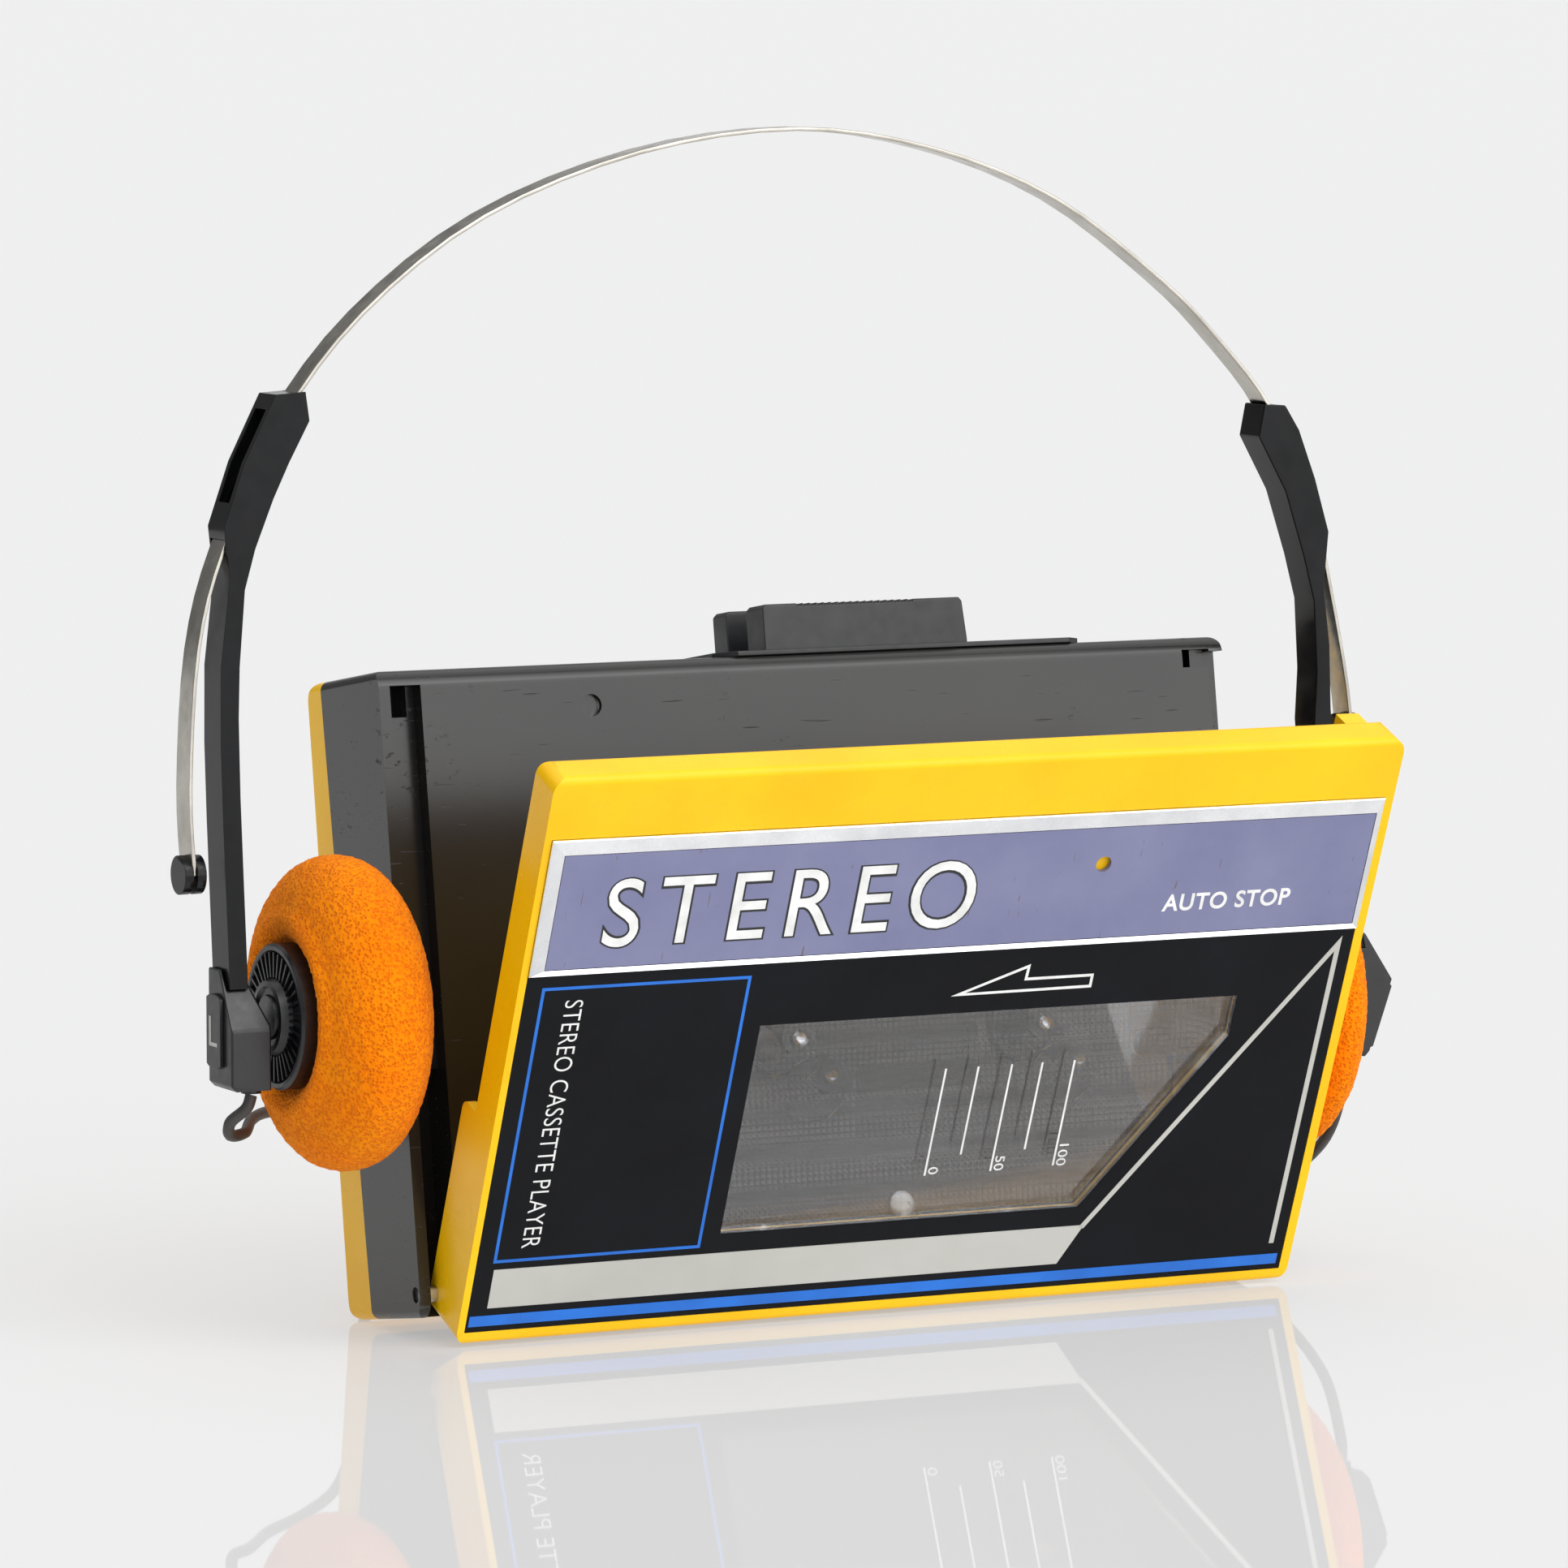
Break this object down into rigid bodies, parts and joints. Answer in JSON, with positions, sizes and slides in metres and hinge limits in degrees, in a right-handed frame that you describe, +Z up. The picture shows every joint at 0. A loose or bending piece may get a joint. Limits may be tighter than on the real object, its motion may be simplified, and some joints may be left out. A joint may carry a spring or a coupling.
{
  "type": "cassette player with headphones",
  "caption": "Pocket tape player leaning on its opened front door, with a sprung-band foam headset clipped over its ends and a cord to its side socket.",
  "frame": {"origin": "on the floor, under the middle of the player and headset's box", "axes": "+X to the player's right as seen from its door, +Y to its back, +Z up"},
  "size_m": [0.205, 0.1303, 0.1795],
  "materials": {
    "case_plastic": "glossy black moulded plastic with scuffs",
    "yellow_plastic": "glossy yellow moulded plastic",
    "deck_plastic": "dark grained plastic",
    "key_plastic": "dark satin plastic",
    "steel": "bright zinc-plated steel",
    "head_metal": "polished metal",
    "brass": "turned brass",
    "rubber_parts": "black rubber",
    "cell_wrap": "printed cell wrap",
    "board": "green lacquered circuit board",
    "lamp": "tinted clear lens",
    "jack_plastic": "black moulded plastic",
    "label_film": "printed near-black film",
    "band_metal": "grey-blue lacquered aluminium with a bright bevel",
    "window": "clear acrylic",
    "spring_steel": "polished spring steel",
    "headset_plastic": "gloss black plastic",
    "foam": "open-cell orange foam",
    "cord_jacket": "dark grey soft vinyl"
  },
  "bodies": {
    "player": {"case_shell": "case_plastic", "rear_cover": "yellow_plastic", "deck": "deck_plastic", "deck_grille": "deck_plastic", "key_plate": "case_plastic", "case_screws": "steel", "deck_screws": "steel", "hinge_pins": "steel", "batteries": "cell_wrap", "battery_contacts": "steel", "circuit_board": "board", "motor": "steel", "drive_belt": "rubber_parts", "flywheel_bridge": "steel", "indicator_lamp": "lamp", "phone_jack": "jack_plastic", "power_jack": "jack_plastic", "lead_joint": "cord_jacket", "left_lead": "cord_jacket", "right_lead": "cord_jacket", "main_lead": "cord_jacket", "spare_coil": "cord_jacket", "phone_plug": "cord_jacket"},
    "battery_door": {"battery_door": "yellow_plastic"},
    "motor_pulley": {"motor_pulley": "brass"},
    "flywheel": {"flywheel": "steel"},
    "idler_wheel": {"idler_wheel": "rubber_parts"},
    "supply_spindle": {"supply_spindle": "deck_plastic"},
    "takeup_spindle": {"takeup_spindle": "deck_plastic"},
    "head_bridge": {"head_bridge": "steel", "tape_head": "head_metal"},
    "pinch_roller": {"pinch_roller": "rubber_parts"},
    "play_key": {"play_key": "key_plastic"},
    "stop_key": {"stop_key": "key_plastic"},
    "forward_key": {"forward_key": "key_plastic"},
    "volume_wheel": {"volume_wheel": "key_plastic"},
    "door": {"door_shell": "yellow_plastic", "door_label": "label_film", "door_band": "band_metal", "door_window": "window", "cassette_springs": "steel"},
    "headset": {"headband": "spring_steel", "stop_knobs": "headset_plastic", "left_arm": "headset_plastic", "right_arm": "headset_plastic", "left_block": "headset_plastic", "right_block": "headset_plastic", "ear_badges": "headset_plastic", "strain_reliefs": "cord_jacket"},
    "left_cup": {"left_driver": "headset_plastic", "left_pad": "foam"},
    "right_cup": {"right_driver": "headset_plastic", "right_pad": "foam"}
  },
  "joints": [
    {"name": "door_hinge", "type": "hinge", "parent": "player", "child": "door", "pos_m": [0.0045, 0.00176, 0.00701], "axis": [-1, 0, 0], "range_deg": [0, 31.4]},
    {"name": "battery_door_hinge", "type": "hinge", "parent": "player", "child": "battery_door", "pos_m": [-0.0435, 0.0341, 0.05586], "axis": [1, 0, 0], "range_deg": [0, 100]},
    {"name": "play_key_press", "type": "slide", "parent": "player", "child": "play_key", "axis": [0, -0.1564, -0.9877], "range_m": [0, 0.0035], "stiffness_N_per_m": 300, "springref_m": -0.003},
    {"name": "stop_key_press", "type": "slide", "parent": "player", "child": "stop_key", "axis": [0, -0.1564, -0.9877], "range_m": [0, 0.0035], "stiffness_N_per_m": 300, "springref_m": -0.003},
    {"name": "forward_key_press", "type": "slide", "parent": "player", "child": "forward_key", "axis": [0, -0.1564, -0.9877], "range_m": [0, 0.0035], "stiffness_N_per_m": 300, "springref_m": -0.003},
    {"name": "head_bridge_slide", "type": "slide", "parent": "player", "child": "head_bridge", "axis": [0, -0.1564, -0.9877], "range_m": [0, 0.0035]},
    {"name": "pinch_roller_spin", "type": "hinge", "parent": "head_bridge", "child": "pinch_roller", "pos_m": [0.052, 0.02209, 0.07143], "axis": [0, 0.9877, -0.1564], "continuous": true},
    {"name": "flywheel_spin", "type": "hinge", "parent": "player", "child": "flywheel", "pos_m": [0.052, 0.02073, 0.06283], "axis": [0, 0.9877, -0.1564], "continuous": true},
    {"name": "motor_pulley_spin", "type": "hinge", "parent": "player", "child": "motor_pulley", "pos_m": [-0.04475, 0.02307, 0.07765], "axis": [0, 0.9877, -0.1564], "continuous": true},
    {"name": "idler_spin", "type": "hinge", "parent": "player", "child": "idler_wheel", "pos_m": [0.04508, 0.01824, 0.0471], "axis": [0, 0.9877, -0.1564], "continuous": true},
    {"name": "takeup_spin", "type": "hinge", "parent": "player", "child": "takeup_spindle", "pos_m": [0.04175, 0.01704, 0.03952], "axis": [0, 0.9877, -0.1564], "continuous": true},
    {"name": "supply_spin", "type": "hinge", "parent": "player", "child": "supply_spindle", "pos_m": [-0.00075, 0.01704, 0.03952], "axis": [0, 0.9877, -0.1564], "continuous": true},
    {"name": "volume_turn", "type": "hinge", "parent": "player", "child": "volume_wheel", "pos_m": [0.0696, 0.02778, 0.085], "axis": [0, 0.1564, 0.9877], "range_deg": [0, 270]},
    {"name": "headset_lift", "type": "slide", "parent": "player", "child": "headset", "axis": [0, 0, 1], "range_m": [0, 0.08]},
    {"name": "left_cup_swivel", "type": "hinge", "parent": "headset", "child": "left_cup", "pos_m": [-0.0863, 0.0074, 0.0492], "axis": [0, 0, 1], "range_deg": [-2, 2]},
    {"name": "right_cup_swivel", "type": "hinge", "parent": "headset", "child": "right_cup", "pos_m": [0.08893, 0.0074, 0.042], "axis": [0.0523, 0, 0.9986], "range_deg": [-2, 2]}
  ],
  "couplings": [
    {"joint": "head_bridge_slide", "follows": "play_key_press", "ratio": 1},
    {"joint": "motor_pulley_spin", "follows": "flywheel_spin", "ratio": 5.2593},
    {"joint": "idler_spin", "follows": "flywheel_spin", "ratio": -6.6228},
    {"joint": "takeup_spin", "follows": "flywheel_spin", "ratio": 2.5}
  ]
}
